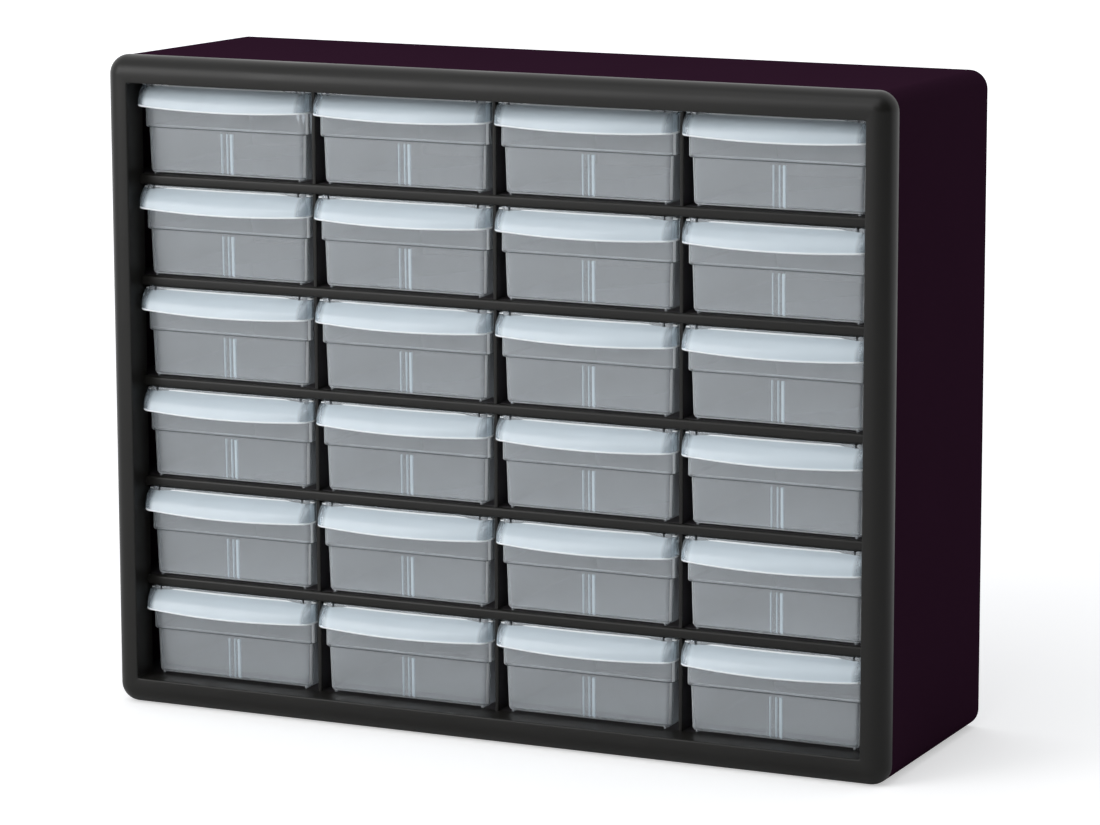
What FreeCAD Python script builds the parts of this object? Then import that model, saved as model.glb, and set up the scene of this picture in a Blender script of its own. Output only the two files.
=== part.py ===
"""Parts bin cabinet: a case, a front frame with a grid of cells, shelves, partitions and sliding drawers.

Lengths are millimetres. X runs across, Y from the front to the back, Z up. The origin is the middle of the
footprint, on the surface that the cabinet stands on. Set-backs are measured from the front face of the
frame, towards the back.
"""

import FreeCAD, Part
import math
import os

V = FreeCAD.Vector

# Overall size
width = 508.0
height = 401.6
depth = 161.9

# Grid of cells
columns = 4
rows = 6
stile_width = 16.2
bar_height = 17.0
mullion_width = 2.4
rail_height = 6.2

# Front frame
frame_depth = 12.4
frame_round = 11.0
frame_corner = 12.0
grid_setback = 14.2
grid_depth = 4.0
rail_round = 1.6
reveal_draft = 0.5
frame_skin = 4.5
reveal_wall = 2.0
tongue_wall = 1.8
tongue_length = 6.0
tongue_inset = 30.0
corner_web = 4.0
stop_lip_drop = 1.2
stop_lip_depth = 1.4
stop_lip_inset = 6.0

# Case
case_inset = 0.5
case_wall = 2.0
case_corner = 11.2
inner_chamfer = 6.0
case_side_taper = 0.5
case_top_taper = 3.0
ledge_reach = 5.0
ledge_thickness = 2.0
floor_rib_width = 3.0
floor_rib_inset = 15.6

# Back panel with its keyholes
back_thickness = 2.0
keyhole_inset = 50.8
keyhole_drop = 48.0
keyhole_head_radius = 5.0
keyhole_slot_width = 5.0
keyhole_slot_rise = 9.0

# Shelves and partitions
plate = 1.4
slot_side_gap = 0.2
rear_lip_height = 4.0
rear_room = 8.6

# Drawer tub
upper_side_gap = 2.55
flank_step = 2.0
upper_height = 27.1
front_setback = 14.4
front_step = 1.0
lower_flank_draft = 0.7
lower_front_draft = 0.5
drawer_wall = 1.3
upper_chamfer = 1.6
lower_chamfer = 1.6
runner_height = 0.8
runner_width = 1.2
runner_edge = 4.5
runner_inset = 2.4
rim_notch_width = 1.6
rim_notch_depth = 2.2

# Divider slot in the drawer's front
slot_rib_depth = 4.0
slot_rib_left = 4.4
slot_rib_right = 2.0
divider_slot = 1.3

# Hood that serves as the pull
hood_side_gap = 1.2
hood_nose_setback = 3.7
hood_reach = 10.0
hood_height = 14.4
hood_top_drop = 1.1
hood_bow = 3.5
hood_smile = 1.8
hood_skin = 1.3
hood_face = 0.3
hood_wing_depth = 4.8
hood_inner_flats = 3
hood_flat_half = 24.0
hood_flat_bow = 0.5

# Clearances
seat_gap = 0.2
runner_gap = 0.3
rim_gap = 0.4
overrun = 5.0

# Worked out from the sizes above
front = -depth / 2
back = depth / 2
grid_face = front + grid_setback
grid_back = grid_face + grid_depth
grid_width = width - 2 * stile_width
grid_bottom = bar_height
grid_top = height - bar_height
column_pitch = (grid_width + mullion_width) / columns
row_pitch = (grid_top - grid_bottom + rail_height) / rows
cell_width = column_pitch - mullion_width
cell_height = row_pitch - rail_height
case_front = front + frame_depth
plate_front = grid_back + seat_gap
plate_back = back - back_thickness - seat_gap
plate_middle = (plate_front + plate_back) / 2
keyhole_level = height - keyhole_drop


def column_centre(column):
    """Middle of a column of cells, counted from the left."""
    return (column - (columns - 1) / 2) * column_pitch


def cell_floor(row):
    """Level of the floor of a row of cells, counted from the bottom."""
    return grid_bottom + row * row_pitch


def box(x0, x1, y0, y1, z0, z1):
    """Block between two values across, two along the depth and two levels."""
    return Part.makeBox(x1 - x0, y1 - y0, z1 - z0, V(x0, y0, z0))


def prism(points, run):
    """Solid made by moving a closed outline of straight lines along a vector."""
    return Part.Face(Part.makePolygon(points + points[:1])).extrude(run)


def tapering_block(y0, first, y1, last):
    """Block between two upright rectangles at y0 and y1, each given as half its width, low and high."""
    half0, low0, high0 = first
    half1, low1, high1 = last
    half, low, high = max(half0, half1), min(low0, low1), max(high0, high1)
    side_view = [V(-half, y0, low0), V(-half, y1, low1), V(-half, y1, high1), V(-half, y0, high0)]
    plan = [V(-half0, y0, low), V(half0, y0, low), V(half1, y1, low), V(-half1, y1, low)]
    return prism(side_view, V(2 * half, 0, 0)).common(prism(plan, V(0, 0, high - low)))


def rounded_outline(half, low, high, y, radius):
    """Closed wire across the depth at y: a rectangle from -half to half, low to high, with round corners."""
    turn = radius * math.sqrt(0.5)
    in_half, in_low, in_high = half - radius, low + radius, high - radius
    right_low, right_high = V(half, y, in_low), V(half, y, in_high)
    top_right, top_left = V(in_half, y, high), V(-in_half, y, high)
    left_high, left_low = V(-half, y, in_high), V(-half, y, in_low)
    base_left, base_right = V(-in_half, y, low), V(in_half, y, low)
    return Part.Wire([
        Part.LineSegment(right_low, right_high).toShape(),
        Part.Arc(right_high, V(in_half + turn, y, in_high + turn), top_right).toShape(),
        Part.LineSegment(top_right, top_left).toShape(),
        Part.Arc(top_left, V(-in_half - turn, y, in_high + turn), left_high).toShape(),
        Part.LineSegment(left_high, left_low).toShape(),
        Part.Arc(left_low, V(-in_half - turn, y, in_low - turn), base_left).toShape(),
        Part.LineSegment(base_left, base_right).toShape(),
        Part.Arc(base_right, V(in_half + turn, y, in_low - turn), right_low).toShape(),
    ])


def cut_cornered_outline(half, low, high, y):
    """Closed wire across the depth at y: a rectangle with its four corners cut off slantwise."""
    in_half, in_low, in_high = half - inner_chamfer, low + inner_chamfer, high - inner_chamfer
    right = [V(in_half, y, low), V(half, y, in_low), V(half, y, in_high), V(in_half, y, high)]
    left = [V(-point.x, y, point.z) for point in reversed(right)]
    return Part.makePolygon(right + left + right[:1])


def edges_in_plane(shape, y):
    """Edges of a shape that lie wholly at one depth."""
    near = seat_gap / 2
    return [e for e in shape.Edges if abs(e.BoundBox.YMin - y) < near and abs(e.BoundBox.YMax - y) < near]


def make_tongues():
    """Four straight tabs that stand behind the bezel, just inside the walls of the case."""
    half = width / 2 - case_inset - case_wall - seat_gap
    low = case_wall + seat_gap
    high = height - case_inset - case_wall - seat_gap
    y0, y1 = front + frame_skin, case_front + tongue_length
    across = half - tongue_inset
    return [
        box(-half, tongue_wall - half, y0, y1, low + tongue_inset, high - tongue_inset),
        box(half - tongue_wall, half, y0, y1, low + tongue_inset, high - tongue_inset),
        box(-across, across, y0, y1, low, low + tongue_wall),
        box(-across, across, y0, y1, high - tongue_wall, high),
    ]


def make_bezel_pockets():
    """Four long pockets that hollow the bars of the bezel from behind and leave its corners whole."""
    outer = width / 2 - case_inset - case_wall - seat_gap - tongue_wall
    inner = grid_width / 2 + reveal_wall
    low = case_wall + seat_gap + tongue_wall
    high = height - case_inset - case_wall - seat_gap - tongue_wall
    under = grid_bottom - reveal_wall
    over = grid_top + reveal_wall
    y0, y1 = front + frame_skin, case_front + overrun
    across = inner - corner_web
    return [
        box(-outer, -inner, y0, y1, under + corner_web, over - corner_web),
        box(inner, outer, y0, y1, under + corner_web, over - corner_web),
        box(-across, across, y0, y1, low, under),
        box(-across, across, y0, y1, over, high),
    ]


def make_bezel():
    """Ring with a rounded outer edge, hollow at the back, with tongues that go into the case."""
    outline = Part.Face(rounded_outline(width / 2, 0, height, front, frame_corner))
    bar = outline.extrude(V(0, frame_depth, 0))
    bar = bar.makeFillet(frame_round, edges_in_plane(bar, front))
    reveal = box(
        -grid_width / 2 - reveal_wall,
        grid_width / 2 + reveal_wall,
        front + frame_skin,
        grid_back,
        grid_bottom - reveal_wall,
        grid_top + reveal_wall,
    )
    return bar.cut(make_bezel_pockets()).fuse(make_tongues() + [reveal]).cut(frame_opening())


def frame_opening():
    """Opening through the bezel, drafted so that it widens towards the front."""
    half = grid_width / 2
    wide = (half + reveal_draft, grid_bottom - reveal_draft, grid_top + reveal_draft)
    tapered = tapering_block(front, wide, grid_face, (half, grid_bottom, grid_top))
    through = box(-half, half, grid_face, grid_back + overrun, grid_bottom, grid_top)
    return tapered.fuse(through)


def make_rail(floor):
    """Level bar under the cells that start at floor, with its two front edges rounded."""
    low = floor - rail_height
    bar = box(-grid_width / 2, grid_width / 2, grid_face, grid_back, low, floor)
    long_front = [e for e in edges_in_plane(bar, grid_face) if e.Length > grid_width / 2]
    return bar.makeFillet(rail_round, long_front)


def make_stop_lip(column, ceiling):
    """Lip that hangs from a rail and catches the rear wall of a drawer pulled right out."""
    half = upper_width / 2 - stop_lip_inset
    centre = column_centre(column)
    y0 = grid_back - stop_lip_depth
    low, high = ceiling - stop_lip_drop, ceiling + rail_height / 2
    return box(centre - half, centre + half, y0, grid_back, low, high)


def make_front_frame():
    """The whole front moulding: the bezel with its rails, mullions and stop lips."""
    frame = make_bezel()
    members = [make_rail(cell_floor(row)) for row in range(1, rows)]
    for column in range(1, columns):
        x = column_centre(column) - column_pitch / 2
        half = mullion_width / 2
        y0 = grid_face + rail_round
        members.append(box(x - half, x + half, y0, grid_back, grid_bottom, grid_top))
    for row in range(rows):
        ceiling = cell_floor(row) + cell_height
        for column in range(columns):
            members.append(make_stop_lip(column, ceiling))
    return frame.fuse(members).removeSplitter()


def case_half_at(y):
    """Half the case's outer width at a depth."""
    share = (y - case_front) / (back - case_front)
    return width / 2 - case_inset - case_side_taper * share


def sleeve_block(inward):
    """Block of the case's outside, or one that lies inward of it by a distance on four sides."""
    top = height - case_inset - inward
    at_front = (case_half_at(case_front) - inward, inward, top)
    at_back = (case_half_at(back) - inward, inward, top - case_top_taper)
    return tapering_block(case_front, at_front, back, at_back)


def long_edges(block):
    """The four edges of a block that run from the case's front to its back."""
    return [e for e in block.Edges if e.BoundBox.YLength > depth / 2]


def make_case_shell():
    """Sleeve that tapers towards the back, with ledges for the shelves and ribs on its floor."""
    outside = sleeve_block(0)
    outside = outside.makeFillet(case_corner, long_edges(outside))
    inside = sleeve_block(case_wall)
    inside = inside.makeChamfer(inner_chamfer, long_edges(inside))
    half_front = case_half_at(case_front)
    half_back = case_half_at(back)
    ledges = []
    ledge_start = case_front + tongue_length + seat_gap
    for row in range(rows):
        top = cell_floor(row) - plate - seat_gap
        for side in (-1, 1):
            inner_end = side * (half_back - case_wall - ledge_reach)
            outer_end = side * (half_front - case_wall / 2)
            x0, x1 = min(inner_end, outer_end), max(inner_end, outer_end)
            ledges.append(box(x0, x1, ledge_start, plate_back, top - ledge_thickness, top))
    rib_top = cell_floor(0) - plate - seat_gap
    rib_start, rib_end = plate_front + floor_rib_inset, plate_back - floor_rib_inset
    half = floor_rib_width / 2
    for column in range(columns):
        x = column_centre(column)
        ledges.append(box(x - half, x + half, rib_start, rib_end, case_wall / 2, rib_top))
    return outside.cut(inside).fuse(ledges).removeSplitter()


def make_keyhole(x):
    """Cutter for one keyhole: a round hole for the screw head and a slot above it for the shank."""
    z = keyhole_level
    y = back - back_thickness - overrun
    length = back_thickness + 2 * overrun
    head = Part.makeCylinder(keyhole_head_radius, length, V(x, y, z), V(0, 1, 0))
    half = keyhole_slot_width / 2
    slot = box(x - half, x + half, y, y + length, z, z + keyhole_slot_rise)
    end = Part.makeCylinder(half, length, V(x, y, z + keyhole_slot_rise), V(0, 1, 0))
    return head.fuse([slot, end])


def make_back_panel():
    """Flat closed back that stands in the sleeve's rear end, with two keyholes for wall screws."""
    half = case_half_at(back) - case_wall - seat_gap
    low = case_wall + seat_gap
    high = height - case_inset - case_top_taper - case_wall - seat_gap
    outline = Part.Face(cut_cornered_outline(half, low, high, back - back_thickness))
    panel = outline.extrude(V(0, back_thickness, 0))
    keyhole_x = width / 2 - keyhole_inset
    return panel.cut([make_keyhole(side * keyhole_x) for side in (-1, 1)])


def make_shelf(row):
    """Floor of a row of cells, slotted from the back to halve into the partitions."""
    half = case_half_at(back) - case_wall - seat_gap
    top = cell_floor(row)
    shelf = box(-half, half, plate_front, plate_back, top - plate, top)
    lip_front = drawer_back + runner_gap
    lip = box(-half, half, lip_front, lip_front + plate, top - plate, top + rear_lip_height)
    slots = []
    for column in range(1, columns):
        x = column_centre(column) - column_pitch / 2
        gap = plate / 2 + slot_side_gap
        low, high = top - plate - overrun, top + rear_lip_height + overrun
        slots.append(box(x - gap, x + gap, plate_middle, plate_back + overrun, low, high))
    return shelf.fuse(lip).cut(slots).removeSplitter()


def make_partition(column):
    """Upright between two columns, slotted from the front to halve into the shelves."""
    x = column_centre(column) - column_pitch / 2
    low = case_wall + seat_gap
    high = height - case_inset - case_top_taper - case_wall - seat_gap
    partition = box(x - plate / 2, x + plate / 2, plate_front, plate_back, low, high)
    slots = []
    for row in range(rows):
        top = cell_floor(row)
        z0, z1 = top - plate - slot_side_gap, top + slot_side_gap
        slots.append(box(x - plate, x + plate, plate_front - overrun, plate_middle + seat_gap, z0, z1))
    return partition.cut(slots)


# The drawer is made for a cell whose floor is at level 0, centred on x = 0

tub_bottom = runner_gap + runner_height
rim = cell_height - rim_gap
step = rim - upper_height
step_height = step - tub_bottom
upper_width = cell_width - 2 * upper_side_gap
lower_width = upper_width - 2 * flank_step
upper_front = front + front_setback
lower_front = upper_front + front_step
drawer_back = plate_back - rear_room - plate - runner_gap
runner_offset = lower_width / 2 - runner_edge
hood_half = cell_width / 2 - hood_side_gap
hood_nose = front + hood_nose_setback
hood_top = rim - hood_top_drop
hood_lip = hood_top - hood_height
hood_radius = (hood_reach ** 2 + hood_height ** 2) / (2 * hood_reach)
drawer_travel = drawer_back - drawer_wall - grid_back - runner_gap


def circle_radius(half_chord, rise):
    """Radius of the circle whose arc rises by rise over a chord of twice half_chord."""
    return (half_chord ** 2 + rise ** 2) / (2 * rise)


def cut_leaning_front(block, y, z):
    """Cut a block so that its front leans back by the draft, going down from the edge at y and z."""
    lean = math.degrees(math.atan2(lower_front_draft, step_height))
    cutter = box(-upper_width, upper_width, y - overrun, y, z - rim, z)
    cutter.rotate(V(0, y, z), V(1, 0, 0), lean)
    return block.cut(cutter)


def make_lower_tub():
    """Lower half of the tub's outside: flanks and a front that lean in, and chamfered long edges."""
    half_high = lower_width / 2
    half_low = half_high - lower_flank_draft
    cut_high = half_low + lower_flank_draft * lower_chamfer / step_height
    half_flat = half_low - lower_chamfer
    right = [V(half_flat, 0, tub_bottom), V(cut_high, 0, tub_bottom + lower_chamfer), V(half_high, 0, step)]
    left = [V(-point.x, 0, point.z) for point in reversed(right)]
    tub = prism(right + left, V(0, drawer_back - lower_front, 0))
    tub.translate(V(0, lower_front, 0))
    return cut_leaning_front(tub, lower_front, step)


def make_upper_tub():
    """Upper half of the tub's outside, wider than the lower one, with its two front corners chamfered."""
    half = upper_width / 2
    tub = box(-half, half, upper_front, drawer_back, step, rim)
    corners = [e for e in edges_in_plane(tub, upper_front) if abs(e.BoundBox.ZLength) > step_height / 2]
    return tub.makeChamfer(upper_chamfer, corners)


def make_tub_hollow():
    """Inside of the tub, one wall in from its outside, with the step carried through."""
    floor, ledge = tub_bottom + drawer_wall, step + drawer_wall
    back_inside = drawer_back - drawer_wall
    y = lower_front + drawer_wall
    half_high = lower_width / 2 - drawer_wall
    half_low = half_high - lower_flank_draft
    section = [V(-half_low, y, floor), V(half_low, y, floor), V(half_high, y, ledge), V(-half_high, y, ledge)]
    lower = cut_leaning_front(prism(section, V(0, back_inside - y, 0)), y, ledge)
    half = upper_width / 2 - drawer_wall
    upper = box(-half, half, upper_front + drawer_wall, back_inside, ledge, rim + overrun)
    return lower.fuse(upper)


def hood_angle(top):
    """Angle, up from the level, at which the hood's quarter round reaches a level."""
    return math.asin((top - hood_lip) / hood_radius)


def hood_outside():
    """Quarter round along the drawer, from the top line down to the nose, with a flat back."""
    behind = upper_front + hood_wing_depth
    centre = V(-hood_half, hood_nose - hood_face + hood_radius, hood_lip)

    def on_round(angle):
        return centre + V(0, -hood_radius * math.cos(angle), hood_radius * math.sin(angle))

    full = hood_angle(hood_top)
    nose, middle, crown = on_round(0), on_round(full / 2), on_round(full)
    below = V(centre.x, nose.y, hood_lip - overrun)
    far_top = V(centre.x, behind, hood_top)
    far_low = V(centre.x, behind, hood_lip - overrun)
    edges = [
        Part.LineSegment(below, nose).toShape(),
        Part.Arc(nose, middle, crown).toShape(),
        Part.LineSegment(crown, far_top).toShape(),
        Part.LineSegment(far_top, far_low).toShape(),
        Part.LineSegment(far_low, below).toShape(),
    ]
    return Part.Face(Part.Wire(edges)).extrude(V(2 * hood_half, 0, 0))


def bowed_plan(half, nose, behind, low, high):
    """Upright block whose front bows forward, by the hood's bow at its middle."""
    corner_right, corner_left = V(half, nose + hood_bow, low), V(-half, nose + hood_bow, low)
    behind_left, behind_right = V(-half, behind, low), V(half, behind, low)
    edges = [
        Part.Arc(corner_left, V(0, nose, low), corner_right).toShape(),
        Part.LineSegment(corner_right, behind_right).toShape(),
        Part.LineSegment(behind_right, behind_left).toShape(),
        Part.LineSegment(behind_left, corner_left).toShape(),
    ]
    return Part.Face(Part.Wire(edges)).extrude(V(0, 0, high - low))


def hood_pocket():
    """Space under the hood for the fingers, one skin in from its outside, open underneath."""
    half = upper_width / 2
    low = hood_lip - overrun
    inner_radius = hood_radius - hood_skin
    centre = V(-half, hood_nose - hood_face + hood_radius, hood_lip)
    last = math.acos((centre.y - upper_front) / inner_radius)
    points = [V(-half, upper_front, low), V(-half, centre.y - inner_radius, low)]
    for flat in range(hood_inner_flats + 1):
        angle = last * flat / hood_inner_flats
        points.append(centre + V(0, -inner_radius * math.cos(angle), inner_radius * math.sin(angle)))
    section = prism(points, V(2 * half, 0, 0))
    end_front = hood_nose + hood_bow + hood_skin
    flat_front = hood_nose + hood_skin + hood_flat_bow
    plan = [
        V(-half, upper_front, low),
        V(-half, end_front, low),
        V(-hood_flat_half, flat_front, low),
        V(hood_flat_half, flat_front, low),
        V(half, end_front, low),
        V(half, upper_front, low),
    ]
    return section.common(prism(plan, V(0, 0, hood_height + overrun)))


def make_hood():
    """Hood with a bowed front, a smiling lower edge and a cheek at each end, open underneath."""
    behind = upper_front + hood_wing_depth
    plan = bowed_plan(hood_half, hood_nose, behind, hood_lip - overrun, hood_top)
    smile_radius = circle_radius(hood_half, hood_smile)
    centre = V(0, front - overrun, hood_lip + smile_radius)
    smile = Part.makeCylinder(smile_radius, behind - centre.y + overrun, centre, V(0, 1, 0))
    return hood_outside().common(plan).common(smile).cut(hood_pocket())


def make_divider_slot():
    """Two ribs inside the front wall that hold the edge of a lengthwise divider."""
    y0 = lower_front + drawer_wall / 2
    y1 = lower_front + drawer_wall + slot_rib_depth
    z0 = tub_bottom + drawer_wall / 2
    inner = divider_slot / 2
    left = box(-inner - slot_rib_left, -inner, y0, y1, z0, step)
    right = box(inner, inner + slot_rib_right, y0, y1, z0, step)
    return [left, right]


def make_runners():
    """Two thin runners under the tub, which keep its floor off the shelf."""
    half = runner_width / 2
    y0 = lower_front + runner_inset
    y1 = drawer_back - runner_inset
    runners = []
    for side in (-1, 1):
        x = side * runner_offset
        runners.append(box(x - half, x + half, y0, y1, runner_gap, tub_bottom + drawer_wall / 2))
    return runners


def make_rim_notches():
    """Cutters for two narrow notches in the rim, above the runners."""
    half = rim_notch_width / 2
    notches = []
    for side in (-1, 1):
        x = side * runner_offset
        y1 = upper_front + drawer_wall + rim_gap
        notches.append(box(x - half, x + half, front, y1, rim - rim_notch_depth, rim + overrun))
    return notches


def make_drawer():
    """One drawer: the stepped tub with its hood, hollowed out, and the ribs and runners that it carries."""
    outside = make_lower_tub().fuse([make_upper_tub(), make_hood()])
    tub = outside.cut([make_tub_hollow()] + make_rim_notches())
    fitted = tub.fuse(make_divider_slot() + make_runners())
    return fitted.removeSplitter()


def export(name, shape):
    """Write a piece to its file, and print how many solids it has and their volume."""
    solids = shape.Solids
    volume = round(sum(s.Volume for s in solids) / 1000, 2)
    print(name, "solids", len(solids), "valid", shape.isValid(), "cm3", volume)
    shape.exportStep(os.path.join("parts", name + ".step"))


def main():
    os.makedirs("parts", exist_ok=True)
    export("front_frame", make_front_frame())
    export("case_shell", make_case_shell())
    export("back_panel", make_back_panel())
    for row in range(rows):
        export("shelf_%d" % (row + 1), make_shelf(row))
    for column in range(1, columns):
        export("partition_%d" % column, make_partition(column))
    drawer = make_drawer()
    print("drawer travel", round(drawer_travel, 2))
    for row in range(rows):
        for column in range(columns):
            placed = drawer.copy()
            placed.translate(V(column_centre(column), 0, cell_floor(row)))
            export("drawer_r%d_c%d" % (row + 1, column + 1), placed)


main()
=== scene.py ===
"""Visual model of a parts bin cabinet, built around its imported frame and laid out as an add-on.

Lengths of the cabinet are millimetres: X runs across, Y from the front to the back, and Z up from the surface
that the cabinet stands on. They are turned into metres where a mesh takes its points. The stage is in metres.
A drawer is made once, for a cell centred on X with its floor at level 0, and is then set into each cell.
"""

import math

import bmesh
import bpy
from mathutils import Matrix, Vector


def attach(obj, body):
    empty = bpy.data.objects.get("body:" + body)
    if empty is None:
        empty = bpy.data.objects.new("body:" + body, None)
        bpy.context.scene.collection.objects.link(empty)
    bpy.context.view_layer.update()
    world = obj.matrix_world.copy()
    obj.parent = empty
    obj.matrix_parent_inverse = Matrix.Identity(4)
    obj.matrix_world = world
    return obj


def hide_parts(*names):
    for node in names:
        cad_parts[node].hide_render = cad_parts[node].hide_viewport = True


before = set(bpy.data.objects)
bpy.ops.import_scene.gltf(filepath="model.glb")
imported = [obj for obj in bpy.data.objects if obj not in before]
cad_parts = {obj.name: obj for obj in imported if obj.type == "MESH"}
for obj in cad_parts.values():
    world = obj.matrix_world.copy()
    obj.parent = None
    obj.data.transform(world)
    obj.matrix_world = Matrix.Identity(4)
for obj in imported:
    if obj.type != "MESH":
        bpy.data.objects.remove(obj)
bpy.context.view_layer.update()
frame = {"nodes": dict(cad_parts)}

bl_info = {
    "name": "Parts bin cabinet",
    "version": (1, 0, 0),
    "blender": (4, 5, 0),
    "location": "3D View > Sidebar > Cabinet",
    "description": "Makes a cabinet of small translucent drawers, and a stage for it",
    "category": "Object",
}

# One millimetre in metres
MM = 0.001

# The cabinet, in millimetres
WIDTH = 508.0
HEIGHT = 401.6
DEPTH = 161.9
FRONT = -DEPTH / 2
BACK = DEPTH / 2
COLUMNS = 4
ROWS = 6
COLUMN_PITCH = 119.5
ROW_PITCH = 62.3
MULLION = 2.4
RAIL = 6.2
GRID_HALF = (COLUMNS * COLUMN_PITCH - MULLION) / 2
GRID_LOW = (HEIGHT - ROWS * ROW_PITCH + RAIL) / 2
GRID_HIGH = HEIGHT - GRID_LOW
GRID_FACE = FRONT + 14.2
GRID_BACK = GRID_FACE + 4.0
BEZEL_DEPTH = 12.4
CASE_FRONT = FRONT + BEZEL_DEPTH
CASE_INSET = 0.5
CASE_WALL = 2.0
SIDE_TAPER = 0.5
TOP_TAPER = 3.0
SEAT = 0.2
PLATE = 1.4
BACK_PANEL = 2.0
KEYHOLE_ASIDE = 203.2
KEYHOLE_DROP = 48.0
# Radius of the small rounds on lips, ledges, ribs and runners
SMALL_ROUND = 0.3


def linear(code):
    """Linear red, green and blue of an sRGB hex value."""
    channels = [int(code[i:i + 2], 16) / 255 for i in (1, 3, 5)]
    return tuple(c / 12.92 if c <= 0.04045 else ((c + 0.055) / 1.055) ** 2.4 for c in channels)


# Meshes

def round_points(half, low, high, radius, steps):
    """Points (across, up) round a rectangle from -half to half and low to high, with round corners."""
    centres = [
        (half - radius, high - radius, 0),
        (radius - half, high - radius, 90),
        (radius - half, low + radius, 180),
        (half - radius, low + radius, 270),
    ]
    points = []
    for across, up, start in centres:
        for step in range(steps + 1):
            turn = math.radians(start + 90 * step / steps)
            points.append((across + radius * math.cos(turn), up + radius * math.sin(turn)))
    return points


def upright_loop(half, low, high, y, radius, steps):
    """Round-cornered loop across the depth at y."""
    return [Vector((x, y, z)) for x, z in round_points(half, low, high, radius, steps)]


def level_loop(half, front, back, z, radius, steps):
    """Round-cornered loop at the level z, from front to back."""
    return [Vector((x, y, z)) for x, y in round_points(half, front, back, radius, steps)]


def loft(mesh, loops, closed):
    """Faces between loops of as many points each; the last joins the first, or both ends are capped."""
    rings = [[mesh.verts.new(point * MM) for point in loop] for loop in loops]
    count = len(rings[0])
    pairs = list(zip(rings, rings[1:]))
    if closed:
        pairs.append((rings[-1], rings[0]))
    for low, high in pairs:
        for i in range(count):
            j = (i + 1) % count
            mesh.faces.new((low[i], low[j], high[j], high[i]))
    if not closed:
        mesh.faces.new(list(reversed(rings[0])))
        mesh.faces.new(rings[-1])


def round_bar(mesh, low, high, axis, radius, steps):
    """Bar along an axis (0, 1 or 2) between two corners, with its long edges and its ends rounded."""
    across, up = [i for i in range(3) if i != axis]
    ends = []
    for step in range(steps + 1):
        turn = math.radians(90 * step / steps)
        ends.append((radius * (1 - math.sin(turn)), radius * (1 - math.cos(turn))))
    stations = [(low[axis] + along, inset) for inset, along in ends]
    stations += [(high[axis] - along, inset) for inset, along in reversed(ends)]
    half = (high[across] - low[across]) / 2
    middle = (high[across] + low[across]) / 2
    loops = []
    for place, inset in stations:
        corner = max(radius - inset, 0.05 * radius)
        ring = round_points(half - inset, low[up] + inset, high[up] - inset, corner, steps)
        loop = []
        for u, v in ring:
            point = [0.0, 0.0, 0.0]
            point[axis], point[across], point[up] = place, middle + u, v
            loop.append(Vector(point))
        loops.append(loop)
    loft(mesh, loops, closed=False)


def new_piece(name, mesh):
    """Object from a bmesh, with its faces turned outwards."""
    bmesh.ops.recalc_face_normals(mesh, faces=mesh.faces)
    data = bpy.data.meshes.new(name)
    mesh.to_mesh(data)
    mesh.free()
    piece = bpy.data.objects.new(name, data)
    bpy.context.scene.collection.objects.link(piece)
    return piece


def combine(piece, operation, tools):
    """Joins the tools to a piece, or cuts them from it, and removes them."""
    group = bpy.data.collections.new(piece.name + "_tools")
    bpy.context.scene.collection.children.link(group)
    for tool in tools:
        group.objects.link(tool)
    modifier = piece.modifiers.new(operation.lower(), "BOOLEAN")
    modifier.operation = operation
    modifier.solver = "MANIFOLD"
    modifier.operand_type = "COLLECTION"
    modifier.collection = group
    graph = bpy.context.evaluated_depsgraph_get()
    made = bpy.data.meshes.new_from_object(piece.evaluated_get(graph))
    piece.modifiers.clear()
    old = piece.data
    piece.data = made
    bpy.data.meshes.remove(old)
    for tool in tools:
        data = tool.data
        bpy.data.objects.remove(tool)
        bpy.data.meshes.remove(data)
    bpy.data.collections.remove(group)
    made.name = piece.name


def clean(piece, crease_degrees):
    """Joins doubled points, drops empty faces, and shades smooth but for edges sharper than the crease."""
    mesh = bmesh.new()
    mesh.from_mesh(piece.data)
    bmesh.ops.remove_doubles(mesh, verts=mesh.verts, dist=0.02 * MM)
    bmesh.ops.dissolve_degenerate(mesh, edges=mesh.edges, dist=0.01 * MM)
    loose = [edge for edge in mesh.edges if not edge.link_faces]
    bmesh.ops.delete(mesh, geom=loose, context="EDGES")
    bmesh.ops.recalc_face_normals(mesh, faces=mesh.faces)
    crease = math.radians(crease_degrees)
    for face in mesh.faces:
        face.smooth = True
    for edge in mesh.edges:
        edge.smooth = len(edge.link_faces) == 2 and edge.calc_face_angle() < crease
    mesh.to_mesh(piece.data)
    mesh.free()
    piece.data.set_sharp_from_angle(angle=crease)


# Materials

def add_node(tree, kind, inputs=None, links=None, **settings):
    """Node of a kind with its settings, its socket values and the sockets that feed it."""
    node = tree.nodes.new(kind)
    for name, value in settings.items():
        setattr(node, name, value)
    for socket, value in (inputs or {}).items():
        node.inputs[socket].default_value = value
    for socket, source in (links or {}).items():
        tree.links.new(source, node.inputs[socket])
    return node


def new_material(name):
    """Empty material and its node tree."""
    material = bpy.data.materials.new(name)
    material.use_nodes = True
    material.node_tree.nodes.clear()
    return material, material.node_tree


def per_metre(millimetres):
    """Pattern scale that gives features of a size in millimetres on coordinates in metres."""
    return 1 / (millimetres * MM)


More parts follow.
